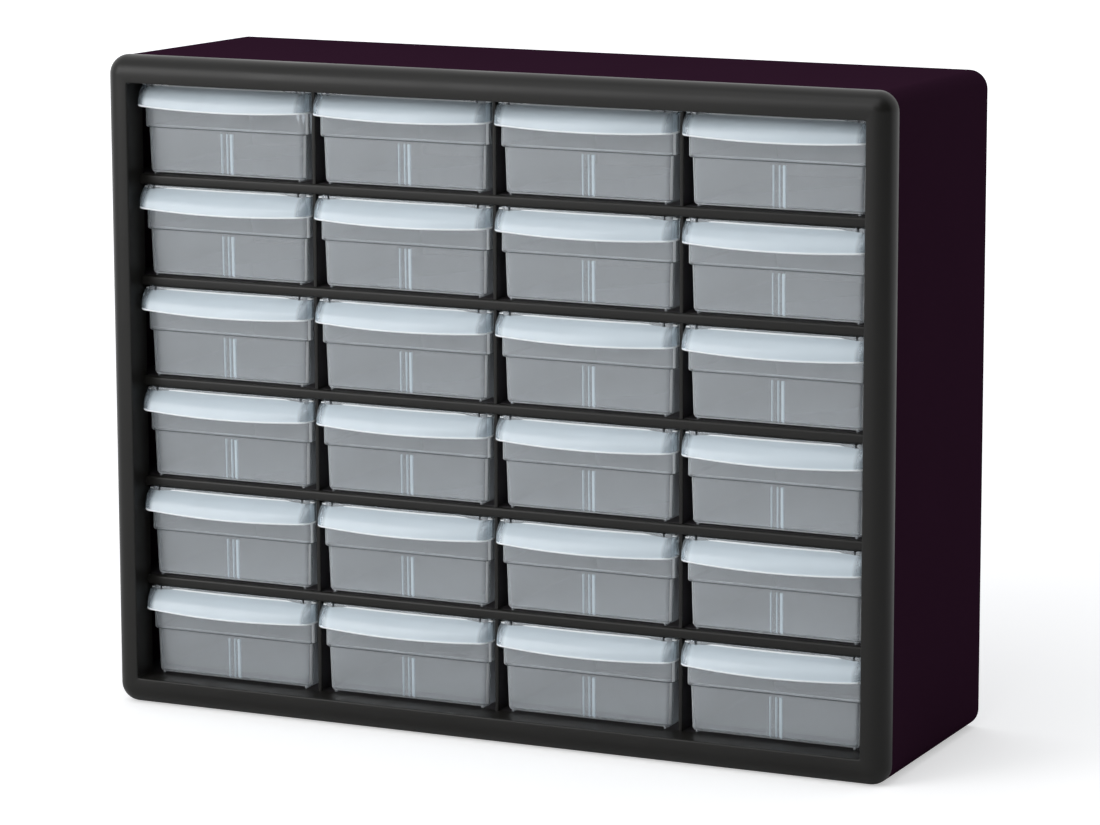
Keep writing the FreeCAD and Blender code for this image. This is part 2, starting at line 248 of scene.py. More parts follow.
def moulded_surface(tree, colour, lift, grain_mm, grain_depth_mm, drift_mm):
    """Pattern, colour and bump of a moulded surface: a fine grain, and a slow drift to a paler tone.

    lift is the factor between the two tones. The last three values are lengths in millimetres.
    """
    place = add_node(tree, "ShaderNodeTexCoord").outputs["Object"]
    drift = add_node(
        tree, "ShaderNodeTexNoise",
        inputs={"Scale": per_metre(drift_mm), "Detail": 3.0, "Roughness": 0.5},
        links={"Vector": place},
    )
    tone = add_node(
        tree, "ShaderNodeMix", data_type="RGBA",
        inputs={6: (*colour, 1), 7: (*[c * lift for c in colour], 1)},
        links={0: drift.outputs["Fac"]},
    )
    grain = add_node(
        tree, "ShaderNodeTexNoise",
        inputs={"Scale": per_metre(grain_mm), "Detail": 2.0, "Roughness": 0.6},
        links={"Vector": place},
    )
    bump = add_node(
        tree, "ShaderNodeBump",
        inputs={"Strength": 0.35, "Distance": grain_depth_mm * MM},
        links={"Height": grain.outputs["Fac"]},
    )
    return drift.outputs["Fac"], tone.outputs[2], bump.outputs["Normal"]


def roughness_from(tree, source, low, high):
    """Roughness that follows a pattern between two values."""
    spread = add_node(
        tree, "ShaderNodeMapRange",
        inputs={"From Min": 0.3, "From Max": 0.7, "To Min": low, "To Max": high},
        links={"Value": source},
    )
    return spread.outputs["Result"]


def finish_material(tree, shader):
    """Output node of a material, fed by its last shader."""
    add_node(tree, "ShaderNodeOutputMaterial", links={"Surface": shader.outputs[0]})


def charcoal_polystyrene():
    """High-impact polystyrene, moulded in a finely textured tool: charcoal, with a soft satin sheen."""
    material, tree = new_material("charcoal_impact_polystyrene_moulded")
    colour = bpy.context.scene.cabinet_colours.frame
    # The tool's grain is about 0.3 mm across. It is drawn at 0.9 mm, because finer grain doesn't show
    drift, tone, bump = moulded_surface(tree, colour, 1.18, grain_mm=0.9, grain_depth_mm=0.03, drift_mm=60)
    shader = add_node(
        tree, "ShaderNodeBsdfPrincipled",
        inputs={"IOR": 1.55, "Specular IOR Level": 0.25},
        links={"Base Color": tone, "Normal": bump, "Roughness": roughness_from(tree, drift, 0.3, 0.4)},
    )
    finish_material(tree, shader)
    return material


def aubergine_polystyrene():
    """Polystyrene case, moulded and nearly black with a purple cast: smoother and flatter than the frame."""
    material, tree = new_material("aubergine_polystyrene_moulded")
    colour = bpy.context.scene.cabinet_colours.case
    # Grain of about 0.2 mm, drawn at 0.7 mm so that it shows
    drift, tone, bump = moulded_surface(tree, colour, 1.12, grain_mm=0.7, grain_depth_mm=0.02, drift_mm=90)
    shader = add_node(
        tree, "ShaderNodeBsdfPrincipled",
        inputs={"IOR": 1.5, "Specular IOR Level": 0.0},
        links={"Base Color": tone, "Normal": bump, "Roughness": roughness_from(tree, drift, 0.5, 0.6)},
    )
    finish_material(tree, shader)
    return material


def inner_polystyrene():
    """Plain dark polystyrene of the shelves and partitions, with a faint mottle where the melt flowed."""
    material, tree = new_material("dark_polystyrene_plain_moulded")
    colour = bpy.context.scene.cabinet_colours.inner
    # Its tool marks are well under a millimetre across, drawn at 1.6 mm so that they show
    drift, tone, bump = moulded_surface(tree, colour, 1.3, grain_mm=1.6, grain_depth_mm=0.03, drift_mm=35)
    shader = add_node(
        tree, "ShaderNodeBsdfPrincipled",
        inputs={"IOR": 1.55},
        links={"Base Color": tone, "Normal": bump, "Roughness": roughness_from(tree, drift, 0.45, 0.6)},
    )
    finish_material(tree, shader)
    return material


def polypropylene(name, colour, clearness, passed, roughness, fading=None):
    """Natural polypropylene, moulded thin: milky, with faint flow clouds, and milkier when seen edge on.

    clearness is the share that it transmits, and passed the share of the lamps' light that each face lets in.
    fading holds the distances from the middle, in millimetres, between which a frosted face turns clear, and
    how clear it gets.
    """
    material, tree = new_material(name)
    place = add_node(tree, "ShaderNodeTexCoord").outputs["Object"]
    # The melt's flow leaves clouds about 30 mm across
    clouds = add_node(
        tree, "ShaderNodeTexNoise",
        inputs={"Scale": per_metre(30), "Detail": 2.0, "Roughness": 0.5},
        links={"Vector": place},
    )
    tone = add_node(
        tree, "ShaderNodeMix", data_type="RGBA",
        inputs={6: (*[0.9 * c for c in colour], 1), 7: (*colour, 1)},
        links={0: clouds.outputs["Fac"]},
    )
    # The way through the skin grows towards its edges, and with it the milkiness
    slant = add_node(tree, "ShaderNodeLayerWeight", inputs={"Blend": 0.35})
    seen_through = add_node(
        tree, "ShaderNodeMapRange",
        inputs={"From Min": 0.2, "From Max": 0.9, "To Min": clearness, "To Max": 0.5 * clearness},
        links={"Value": slant.outputs["Facing"]},
    )
    clear = seen_through.outputs["Result"]
    if fading:
        start, end, clear_end = fading
        parts = add_node(tree, "ShaderNodeSeparateXYZ", links={"Vector": place})
        across = add_node(tree, "ShaderNodeMath", operation="ABSOLUTE", links={0: parts.outputs["X"]})
        share = add_node(
            tree, "ShaderNodeMapRange", interpolation_type="SMOOTHSTEP",
            inputs={"From Min": start * MM, "From Max": end * MM}, links={"Value": across.outputs[0]},
        )
        clear = add_node(
            tree, "ShaderNodeMix", inputs={3: clear_end}, links={0: share.outputs["Result"], 2: clear}
        ).outputs[0]
    shader = add_node(
        tree, "ShaderNodeBsdfPrincipled",
        inputs={"IOR": 1.49, "Roughness": roughness},
        links={"Base Color": tone.outputs[2], "Transmission Weight": clear},
    )
    # Each face lets a share of the lamps' light through, so that the inside is lit as through thin plastic
    window = add_node(tree, "ShaderNodeBsdfTransparent", inputs={"Color": (passed, passed, passed, 1)})
    path = add_node(tree, "ShaderNodeLightPath")
    both = add_node(
        tree, "ShaderNodeMixShader",
        links={0: path.outputs["Is Shadow Ray"], 1: shader.outputs[0], 2: window.outputs[0]},
    )
    finish_material(tree, both)
    return material


def drawer_plastics():
    """Drawer plastic: polished tub, blasted hood, painted highlight on edges, painted shade on the step."""
    colours = bpy.context.scene.cabinet_colours
    name = "natural_polypropylene_"
    cheeks = (50, 54, 0.88)
    return [
        polypropylene(name + "polished_mould", colours.tub, 0.78, 0.88, 0.05),
        polypropylene(name + "blasted_mould", colours.hood, 0.35, 0.75, 0.24, fading=cheeks),
        # Painted highlight: a near white, nearly opaque copy of the plastic for edges that catch the light
        polypropylene(name + "rounded_edge_painted_highlight", colours.edge, 0.1, 0.6, 0.2),
        # Painted shade: a darker grey copy of the plastic for the round of the step
        polypropylene(name + "step_painted_shade", colours.step, 0.3, 0.6, 0.2),
    ]


# Pieces

def bezel_loops():
    """Section of the bezel, carried round the frame as loops.

    It runs from the outer edge at the back, over the round, the face and the reveal, to the hollow back. Each
    entry is the inset at the sides, the inset at the ends, the depth behind the face and the corner's radius.
    """
    corner, turn_radius, chamfer = 12.0, 11.0, 0.4
    grid_side, grid_end = WIDTH / 2 - GRID_HALF, GRID_LOW
    section = [(chamfer, chamfer, BEZEL_DEPTH, corner), (0.0, 0.0, BEZEL_DEPTH - chamfer, corner)]
    round_steps = 12
    for step in range(round_steps + 1):
        turn = math.radians(90 * step / round_steps)
        inset = turn_radius * (1 - math.cos(turn))
        section.append((inset, inset, turn_radius * (1 - math.sin(turn)), corner - inset))
    draft, edge, edge_steps, reveal_corner = 0.5, 0.9, 4, 1.0
    for step in range(edge_steps + 1):
        turn = math.radians(90 * step / edge_steps)
        back = edge * (1 - math.sin(turn))
        side, end = grid_side - draft - back, grid_end - draft - back
        section.append((side, end, edge * (1 - math.cos(turn)), reveal_corner + back))
    section.append((grid_side, grid_end, GRID_FACE - FRONT, reveal_corner))
    section.append((grid_side, grid_end, GRID_BACK - FRONT, reveal_corner))
    wall, skin, outer_wall = 2.0, 4.5, 4.9
    hollow_corner = corner - outer_wall
    section.append((grid_side - wall, grid_end - wall, GRID_BACK - FRONT, wall))
    section.append((grid_side - wall, grid_end - wall, skin, wall))
    section.append((outer_wall, outer_wall, skin, hollow_corner))
    section.append((outer_wall, outer_wall, BEZEL_DEPTH, hollow_corner))
    return [
        upright_loop(WIDTH / 2 - side, end, HEIGHT - end, FRONT + y, radius, 10)
        for side, end, y, radius in section
    ]


def column_centre(column):
    """Middle of a column, across."""
    return (column - (COLUMNS - 1) / 2) * COLUMN_PITCH


def cell_floor(row):
    """Level of the floor of a row's cells."""
    return GRID_LOW + row * ROW_PITCH


def make_front_frame():
    """Bezel, rails, mullions and stop lips as one moulding."""
    mesh = bmesh.new()
    loft(mesh, bezel_loops(), closed=True)
    piece = new_piece("front_frame_visual", mesh)
    tools = []
    # Rails and mullions run this far into the bezel
    into_bezel, rail_round, mullion_round = 1.2, 1.6, 0.6
    # Backs of mullions and lips stop this far short of the rails', or twice as far, so that no faces coincide
    short = 0.05
    for row in range(1, ROWS):
        floor = cell_floor(row)
        mesh = bmesh.new()
        low = (-GRID_HALF - into_bezel, GRID_FACE, floor - RAIL)
        round_bar(mesh, low, (GRID_HALF + into_bezel, GRID_BACK, floor), 0, rail_round, 6)
        tools.append(new_piece("rail", mesh))
    for column in range(1, COLUMNS):
        x = column_centre(column) - COLUMN_PITCH / 2
        mesh = bmesh.new()
        low = (x - MULLION / 2, GRID_FACE + rail_round, GRID_LOW - into_bezel)
        high = (x + MULLION / 2, GRID_BACK - short, GRID_HIGH + into_bezel)
        round_bar(mesh, low, high, 2, mullion_round, 3)
        tools.append(new_piece("mullion", mesh))
    lip_half, lip_depth, lip_drop, lip_root = 50.0, 1.4, 1.2, 2.0
    for row in range(ROWS):
        ceiling = cell_floor(row) + ROW_PITCH - RAIL
        for column in range(COLUMNS):
            x = column_centre(column)
            mesh = bmesh.new()
            low = (x - lip_half, GRID_BACK - lip_depth, ceiling - lip_drop)
            high = (x + lip_half, GRID_BACK - 2 * short, ceiling + lip_root)
            round_bar(mesh, low, high, 0, SMALL_ROUND, 2)
            tools.append(new_piece("stop_lip", mesh))
    combine(piece, "UNION", tools)
    clean(piece, crease_degrees=30)
    return piece


def make_case():
    """Sleeve that narrows towards the back, with rounded rims, ledges for shelves and ribs on its floor."""
    wall, corner = CASE_WALL, 11.2

    def loop(y, inward, radius):
        share = (y - CASE_FRONT) / (BACK - CASE_FRONT)
        half = WIDTH / 2 - CASE_INSET - SIDE_TAPER * share - inward
        high = HEIGHT - CASE_INSET - TOP_TAPER * share - inward
        return upright_loop(half, inward, high, y, radius, 10)

    edge, edge_steps, inner_chamfer = 0.6, 3, 0.2
    sections = []
    for step in range(edge_steps + 1):
        turn = math.radians(90 * step / edge_steps)
        inward = edge * (1 - math.sin(turn))
        sections.append((CASE_FRONT + edge * (1 - math.cos(turn)), inward, corner - inward))
    for step in range(edge_steps + 1):
        turn = math.radians(90 * step / edge_steps)
        inward = edge * (1 - math.cos(turn))
        sections.append((BACK - edge * (1 - math.sin(turn)), inward, corner - inward))
    sections.append((BACK, wall - inner_chamfer, corner - wall))
    sections.append((BACK - inner_chamfer, wall, corner - wall))
    sections.append((CASE_FRONT, wall, corner - wall))
    mesh = bmesh.new()
    loft(mesh, [loop(*section) for section in sections], closed=True)
    piece = new_piece("case_visual", mesh)
    tools = []
    ledge_reach, ledge_root, ledge_height, ledge_start = 8.0, 1.5, 2.0, CASE_FRONT + 6.2
    for row in range(ROWS):
        top = cell_floor(row) - PLATE - SEAT
        for side in (-1, 1):
            x0, x1 = sorted((side * (WIDTH / 2 - ledge_reach), side * (WIDTH / 2 - ledge_root)))
            mesh = bmesh.new()
            low, high = (x0, ledge_start, top - ledge_height), (x1, BACK - CASE_WALL - SEAT, top)
            round_bar(mesh, low, high, 1, SMALL_ROUND, 2)
            tools.append(new_piece("ledge", mesh))
    rib_half, rib_start, rib_end = 1.5, -47.0, 63.1
    for column in range(COLUMNS):
        x = column_centre(column)
        mesh = bmesh.new()
        low, high = (x - rib_half, rib_start, CASE_WALL / 2), (x + rib_half, rib_end, GRID_LOW - PLATE - SEAT)
        round_bar(mesh, low, high, 1, SMALL_ROUND, 2)
        tools.append(new_piece("floor_rib", mesh))
    combine(piece, "UNION", tools)
    clean(piece, crease_degrees=30)
    return piece


def keyhole_tool(x):
    """Cutter for one keyhole: a round entry for a screw head, and a slot that runs up from it."""
    z = HEIGHT - KEYHOLE_DROP
    outline = []
    head, half, rise = 5.0, 2.5, 9.0
    head_steps, slot_steps = 40, 12
    start = math.asin(half / head)
    for step in range(head_steps + 1):
        turn = start + (2 * math.pi - 2 * start) * step / head_steps
        outline.append((x + head * math.sin(turn), z + head * math.cos(turn)))
    for step in range(slot_steps + 1):
        turn = math.pi * step / slot_steps
        outline.append((x - half * math.cos(turn), z + rise + half * math.sin(turn)))
    mesh = bmesh.new()
    overrun = 4
    loops = [[Vector((u, y, v)) for u, v in outline] for y in (BACK - BACK_PANEL - overrun, BACK + overrun)]
    loft(mesh, loops, closed=False)
    return new_piece("keyhole", mesh)


def make_back_panel():
    """Closed back with two keyholes, set into the sleeve, with shallow sunk fields between flat bands."""
    half = WIDTH / 2 - CASE_INSET - SIDE_TAPER - CASE_WALL - SEAT
    low, high, radius = CASE_WALL + SEAT, HEIGHT - CASE_INSET - TOP_TAPER - CASE_WALL - SEAT, 8.8
    chamfer = 0.4
    sections = [
        (BACK - BACK_PANEL, 0.0, radius),
        (BACK - chamfer, 0.0, radius),
        (BACK, chamfer, radius - chamfer),
    ]
    mesh = bmesh.new()
    loops = [upright_loop(half - inset, low + inset, high - inset, y, r, 6) for y, inset, r in sections]
    loft(mesh, loops, closed=False)
    piece = new_piece("back_panel_visual", mesh)
    tools = [keyhole_tool(side * KEYHOLE_ASIDE) for side in (-1, 1)]
    fields_across, band, field_corner = 3, 22.0, 8.0
    field_levels = ((24.0, 170.0), (192.0, 322.0))
    field = (2 * half - (fields_across + 1) * band) / fields_across
    for index in range(fields_across):
        x = -half + band + field / 2 + index * (field + band)
        for z0, z1 in field_levels:
            mesh = bmesh.new()
            loops = []
            # The field is sunk 0.8 mm, with a small round at its foot
            for y, inset in ((BACK - 0.8, 0.6), (BACK - 0.6, 0.15), (BACK + 1, -0.6)):
                ring = round_points(field / 2 - inset, z0 + inset, z1 - inset, field_corner, 8)
                loops.append([Vector((x + u, y, v)) for u, v in ring])
            loft(mesh, loops, closed=False)
            tools.append(new_piece("field", mesh))
    combine(piece, "DIFFERENCE", tools)
    clean(piece, crease_degrees=30)
    return piece


# The drawer, for a cell whose floor is at level 0

TUB_BOTTOM = 1.1
STEP = 28.6
RIM = 55.7
WALL = 1.3
UPPER_HALF = 56.0
LOWER_HALF = 54.0
FOOT_HALF = 53.3
FOOT_SETBACK = 0.5
UPPER_FRONT = FRONT + 14.4
LOWER_FRONT = FRONT + 15.4
TUB_BACK = FRONT + 149.4
HOOD_HALF = 57.35
HOOD_LIP = 40.2
HOOD_HEIGHT = 14.4
HOOD_RADIUS = 15.37
HOOD_NOSE = FRONT + 3.7
HOOD_BOW = 3.5
HOOD_SMILE = 1.8
HOOD_SKIN = 1.3
HOOD_BACK = FRONT + 19.2
HOOD_BEHIND_BEAD = 0.3
ROUND_SMILE = 0.93
HOOD_CORNER = 5.0
HOOD_TOP_CORNER = 1.2
HOOD_FLATS = 14
EDGE_BEAD = 1.0
RUNNER_ASIDE = 49.5

# Places of the plastics in the drawer's list of materials, after the tub's
FROSTED = 1
# Painted highlight: near white on edges that would catch the light
PAINTED_EDGE_HIGHLIGHT = 2
# Painted shade: darker grey on the step, which turns away from the light
PAINTED_STEP_SHADE = 3


def tub_outside():
    """Outside of the tub from its bottom round, up the flanks, over the step to the rim."""
    lower_corner, upper_corner = 4.5, 4.8
    levels = []
    base_round, base_steps = 2.4, 5
    for step in range(base_steps + 1):
        turn = math.radians(90 * step / base_steps)
        inset = base_round * (1 - math.sin(turn))
        z = TUB_BOTTOM + base_round * (1 - math.cos(turn))
        front = LOWER_FRONT + FOOT_SETBACK + inset
        levels.append((FOOT_HALF - inset, front, TUB_BACK - inset, z, max(lower_corner - inset, 2.2)))
    # The lower wall ends in a small hollow under the step
    levels.append((LOWER_HALF - 0.02, LOWER_FRONT + 0.01, TUB_BACK, STEP - 0.5, lower_corner))
    levels.append((LOWER_HALF, LOWER_FRONT, TUB_BACK, STEP - 0.12, lower_corner))
    levels.append((LOWER_HALF + 0.25, LOWER_FRONT - 0.12, TUB_BACK, STEP, lower_corner + 0.1))
    step_round, step_steps = 1.1, 4
    for step in range(step_steps + 1):
        turn = math.radians(90 * step / step_steps)
        inset = step_round * (1 - math.sin(turn))
        z = STEP + step_round * (1 - math.cos(turn))
        levels.append((UPPER_HALF - inset, UPPER_FRONT + inset * 0.7, TUB_BACK, z, upper_corner - inset))
    rim_round, rim_steps = 0.45, 3
    for step in range(rim_steps + 1):
        turn = math.radians(90 * step / rim_steps)
        inset = rim_round * (1 - math.cos(turn))
        z = RIM - rim_round * (1 - math.sin(turn))
        levels.append((UPPER_HALF - inset, UPPER_FRONT + inset, TUB_BACK - inset, z, upper_corner - inset))
    mesh = bmesh.new()
    loft(mesh, [level_loop(*level, 8) for level in levels], closed=False)
    return new_piece("drawer_shape", mesh)


def tub_hollow():
    """Inside of the tub, one wall in from its outside."""
    floor = TUB_BOTTOM + WALL
    back = TUB_BACK - WALL
    lower_corner, upper_corner = 3.2, 3.5
    levels = []
    base_round, base_steps = 1.6, 4
    for step in range(base_steps + 1):
        turn = math.radians(90 * step / base_steps)
        inset = base_round * (1 - math.sin(turn))
        z = floor + base_round * (1 - math.cos(turn))
        half, front = FOOT_HALF - WALL - inset, LOWER_FRONT + FOOT_SETBACK + WALL + inset
        levels.append((half, front, back - inset, z, max(lower_corner - inset, 1.4)))
    half, front = UPPER_HALF - WALL, UPPER_FRONT + WALL
    levels.append((LOWER_HALF - WALL, LOWER_FRONT + WALL, back, STEP + WALL - 0.4, lower_corner))
    levels.append((half, front, back, STEP + WALL + 0.6, upper_corner))
    # The rim's inner edge is chamfered, and the cutter runs on past the rim
    chamfer, overrun = 0.4, 4
    levels.append((half, front, back, RIM - chamfer, upper_corner))
    for z in (RIM, RIM + overrun):
        levels.append((half + chamfer, front - chamfer, back + chamfer, z, upper_corner + chamfer))
    mesh = bmesh.new()
    loft(mesh, [level_loop(*level, 8) for level in levels], closed=False)
    return new_piece("tub_hollow", mesh)


def hood_path(half, corner, bow, steps):
    """Plan of the hood's front from its left cheek to its right one: (x, setback behind the nose)."""
    right = []
    for step in range(HOOD_FLATS + 1):
        right.append(((half - corner) * step / HOOD_FLATS, 0.0))
    for step in range(1, steps + 1):
        turn = math.radians(90 * step / steps)
        right.append((half - corner + corner * math.sin(turn), corner * (1 - math.cos(turn))))
    path = [(x, setback + bow * (x / half) ** 2) for x, setback in right]
    return [(-x, setback) for x, setback in reversed(path[1:])] + path


def hood_block(name, half, corner, levels, back):
    """Closed block under the hood's bowed surface, from bands between levels.

    A level is the setback behind the nose, the height above the lip and the share of the smile, which is how
    far the hood's lower edge rises towards its ends.
    """
    mesh = bmesh.new()
    rows = []
    for setback, height, share in levels:
        tightening = max(height, 0) / HOOD_HEIGHT
        path = hood_path(half, corner * (1 - tightening) + HOOD_TOP_CORNER * tightening, HOOD_BOW, 6)
        level = HOOD_LIP + height
        row = [mesh.verts.new(Vector((-half, back, level + share * HOOD_SMILE)) * MM)]
        for x, behind in path:
            smile = share * HOOD_SMILE * (x / half) ** 2
            row.append(mesh.verts.new(Vector((x, HOOD_NOSE + setback + behind, level + smile)) * MM))
        row.append(mesh.verts.new(Vector((half, back, level + share * HOOD_SMILE)) * MM))
        rows.append(row)
    count = len(rows[0])
    for low, high in zip(rows, rows[1:]):
        for i in range(count - 1):
            mesh.faces.new((low[i], low[i + 1], high[i + 1], high[i]))
        mesh.faces.new((low[-1], low[0], high[0], high[-1]))
    for row in (rows[0], rows[-1]):
        for i in range(count // 2):
            j = count - 1 - i
            corners = [row[i], row[i + 1], row[j - 1], row[j]]
            mesh.faces.new([c for n, c in enumerate(corners) if c not in corners[:n]])
    return new_piece(name, mesh)


def hood_outside():
    """Outside of the hood: a bead round its lower edge, the quarter round, and a bead along its top line.

    The levels are those of hood_block.
    """
    lower_bead = [
        (0.75, 0.0, 1.0),
        (0.3, 0.12, 1.0),
        (0.05, 0.4, 1.0),
        (0.0, 0.75, 1.0),
        (0.12, 1.15, 0.97),
        (0.34, 1.45, 0.95),
    ]
    top_bead = [(8.8, 13.95, 0.0), (9.0, 14.5, 0.0), (9.5, 14.75, 0.0), (10.2, 14.55, 0.0)]
    round_start, round_end, round_steps = 1.8, 13.5, 10
    start, end = math.asin(round_start / HOOD_RADIUS), math.asin(round_end / HOOD_RADIUS)
    quarter_round = []
    for step in range(round_steps + 1):
        turn = start + (end - start) * step / round_steps
        height = HOOD_RADIUS * math.sin(turn)
        setback = HOOD_BEHIND_BEAD + HOOD_RADIUS * (1 - math.cos(turn))
        quarter_round.append((setback, height, ROUND_SMILE * (1 - height / HOOD_HEIGHT)))
    return hood_block("hood", HOOD_HALF, HOOD_CORNER, lower_bead + quarter_round + top_bead, HOOD_BACK)


def hood_inside():
    """Space under the hood, one skin in from its outside."""
    radius, corner, overrun, back = HOOD_RADIUS - HOOD_SKIN, 3.8, 5.0, FRONT + 23
    levels = [(HOOD_SKIN, -overrun, 1.0), (HOOD_SKIN, HOOD_BEHIND_BEAD, 1.0)]
    start, sweep, steps = 4, 61, 8
    for step in range(steps + 1):
        turn = math.radians(start + sweep * step / steps)
        height = radius * math.sin(turn)
        setback = HOOD_SKIN + HOOD_BEHIND_BEAD + radius * (1 - math.cos(turn))
        levels.append((setback, height, ROUND_SMILE * (1 - height / HOOD_HEIGHT)))
    return hood_block("hood_space", UPPER_HALF - 0.1, corner, levels, back)


def divider_ribs():
    """Three slim upright ribs for the edge of a lengthwise divider, which show as lines in the front wall."""
    # Their fronts stand a hair proud of the leaning wall, so that they show in it and no faces coincide
    proud = 0.04
    behind = LOWER_FRONT + WALL + 1.5
    top = STEP - 1.8
    side_view = [
        (LOWER_FRONT + 0.82 - proud, TUB_BOTTOM + 1.2),
        (LOWER_FRONT + FOOT_SETBACK - proud, TUB_BOTTOM + 2.4),
        (LOWER_FRONT + 0.03 - proud, top),
        (behind, top),
        (behind, TUB_BOTTOM + WALL / 2),
    ]
    sides = ((-3.15, -2.65), (0.65, 1.15), (3.1, 4.5))
    ribs = []
    for x0, x1 in sides:
        mesh = bmesh.new()
        loft(mesh, [[Vector((x, y, z)) for y, z in side_view] for x in (x0, x1)], closed=False)
        ribs.append(new_piece("divider_rib", mesh))
    return ribs


def runners():
    """Two runners under the tub, with rounded ends."""
    made = []
    half, clearance, into_tub = 0.6, 0.3, 0.7
    for side in (-1, 1):
        x = side * RUNNER_ASIDE
        mesh = bmesh.new()
        low = (x - half, LOWER_FRONT + 1.2, clearance)
        high = (x + half, TUB_BACK - 2.4, TUB_BOTTOM + into_tub)
        round_bar(mesh, low, high, 1, SMALL_ROUND, 2)
        made.append(new_piece("runner", mesh))
    return made


def rim_notches():
    """Cutters for two narrow notches in the rim of the front wall."""
    cutters = []
    half, deep, overrun = 0.8, 2.2, 4
    for side in (-1, 1):
        x = side * RUNNER_ASIDE
        mesh = bmesh.new()
        low = (x - half, UPPER_FRONT - overrun / 2, RIM - deep)
        high = (x + half, UPPER_FRONT + WALL + 0.4, RIM + overrun)
        round_bar(mesh, low, high, 1, SMALL_ROUND, 2)
        cutters.append(new_piece("rim_notch", mesh))
    return cutters


def is_front_corner(face):
    """Whether a tub face lies mid-way round an upright front corner, where a highlight is painted."""
    near_front = face.center.y / MM < LOWER_FRONT + 6
    # The middle is turned 46 to 64 degrees away from the front
    return near_front and 0.72 < abs(face.normal.x) < 0.9 and abs(face.normal.z) < 0.3


def is_foot_line(face):
    """Whether a face lies low in the round from the tub's front wall to its bottom: a painted light line."""
    return face.normal.y < -0.35 and face.center.z / MM < TUB_BOTTOM + 1.2


def make_drawer_shape():
    """One drawer as a single moulding, for a cell at the origin: a polished tub with a frosted hood."""
    piece, hood, ribs = tub_outside(), hood_outside(), divider_ribs()
    plastics = drawer_plastics()
    for part in [piece, hood] + ribs:
        for plastic in plastics:
            part.data.materials.append(plastic)
    for part, plastic in [(hood, FROSTED)] + [(rib, FROSTED) for rib in ribs]:
        for face in part.data.polygons:
            face.material_index = plastic
    # Painted shade round the step, and painted highlights on the front corners and the foot line
    under_step, over_step = 0.3, 0.75
    for face in piece.data.polygons:
        if -under_step < face.center.z / MM - STEP < over_step:
            face.material_index = PAINTED_STEP_SHADE
        elif is_front_corner(face) or is_foot_line(face):
            face.material_index = PAINTED_EDGE_HIGHLIGHT
    combine(hood, "DIFFERENCE", [hood_inside()])
    # Painted highlight along the hood's lower bead and its top line
    for face in hood.data.polygons:
        across, height = abs(face.center.x) / MM, face.center.z / MM - HOOD_LIP
        bead = HOOD_SMILE * (across / HOOD_HALF) ** 2 + EDGE_BEAD
        if height < bead or height > HOOD_HEIGHT - EDGE_BEAD / 2:
            face.material_index = PAINTED_EDGE_HIGHLIGHT
    combine(piece, "UNION", [hood])
    combine(piece, "DIFFERENCE", [tub_hollow()])
    combine(piece, "DIFFERENCE", rim_notches())
    combine(piece, "UNION", ribs + runners())
    clean(piece, crease_degrees=32)
    return piece


# Operators

def dress(piece, material):
    """Gives a piece one material."""
    piece.data.materials.clear()
    piece.data.materials.append(material)


class CabinetSizes(bpy.types.PropertyGroup):
    """Sizes that a user may change"""

    floor_size: bpy.props.FloatProperty(
        name="Floor", description="Length of the floor's sides", default=30.0, min=1.0, unit="LENGTH"
    )
    focal_length: bpy.props.FloatProperty(
        name="Focal length", description="Focal length of the camera's lens", default=150.5, min=20.0,
        unit="CAMERA",
    )


class CabinetColours(bpy.types.PropertyGroup):
    """Colours of the plastics"""

    frame: bpy.props.FloatVectorProperty(
        name="Frame", description="Charcoal of the front frame", subtype="COLOR", size=3, min=0, max=1,
        default=linear("#1B1A18"),
    )
    case: bpy.props.FloatVectorProperty(
        name="Case", description="Aubergine black of the case", subtype="COLOR", size=3, min=0, max=1,
        default=linear("#2E1928"),
    )
    inner: bpy.props.FloatVectorProperty(
        name="Inside", description="Dark grey of the shelves and partitions", subtype="COLOR", size=3,
        min=0, max=1, default=linear("#2A272A"),
    )
    tub: bpy.props.FloatVectorProperty(
        name="Tubs", description="Milky grey of the drawers' tubs", subtype="COLOR", size=3, min=0, max=1,
        default=linear("#E4E9ED"),
    )
    hood: bpy.props.FloatVectorProperty(
        name="Hoods", description="Bluish white of the drawers' hoods", subtype="COLOR", size=3,
        min=0, max=1, default=linear("#E3F0F8"),
    )
    # Painted shade for the round of the step
    step: bpy.props.FloatVectorProperty(
        name="Steps", description="Grey of the step round each tub, which turns away from the light",
        subtype="COLOR", size=3, min=0, max=1, default=linear("#6A6F72"),
    )
    # Painted highlight for the drawers' rounded edges, not their own colour
    edge: bpy.props.FloatVectorProperty(
        name="Edges", description="Near white of the drawers' rounded edges", subtype="COLOR", size=3,
        min=0, max=1, default=linear("#F4F8FA"),
    )
    background: bpy.props.FloatVectorProperty(
        name="Background", description="White of the floor and the surroundings", subtype="COLOR", size=3,
        min=0, max=1, default=linear("#FFFFFF"),
    )


class CABINET_OT_front_frame(bpy.types.Operator):
    """Make the charcoal front frame"""

    bl_idname = "cabinet.front_frame"
    bl_label = "Front frame"

    def execute(self, context):
        piece = make_front_frame()
        dress(piece, charcoal_polystyrene())
        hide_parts("front_frame")
        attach(piece, "cabinet")
        return {"FINISHED"}


class CABINET_OT_case(bpy.types.Operator):
    """Make the case and its back panel"""

    bl_idname = "cabinet.case"
    bl_label = "Case and back"

    def execute(self, context):
        material = aubergine_polystyrene()
        for piece, node in ((make_case(), "case_shell"), (make_back_panel(), "back_panel")):
            dress(piece, material)
            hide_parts(node)
            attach(piece, "cabinet")
        return {"FINISHED"}


class CABINET_OT_inside(bpy.types.Operator):
    """Finish the shelves and partitions that come with the frame"""

    bl_idname = "cabinet.inside"
    bl_label = "Shelves and partitions"

    def execute(self, context):
        material = inner_polystyrene()
        for name, node in frame["nodes"].items():
            if name.startswith(("shelf", "partition")):
                dress(node, material)
        return {"FINISHED"}


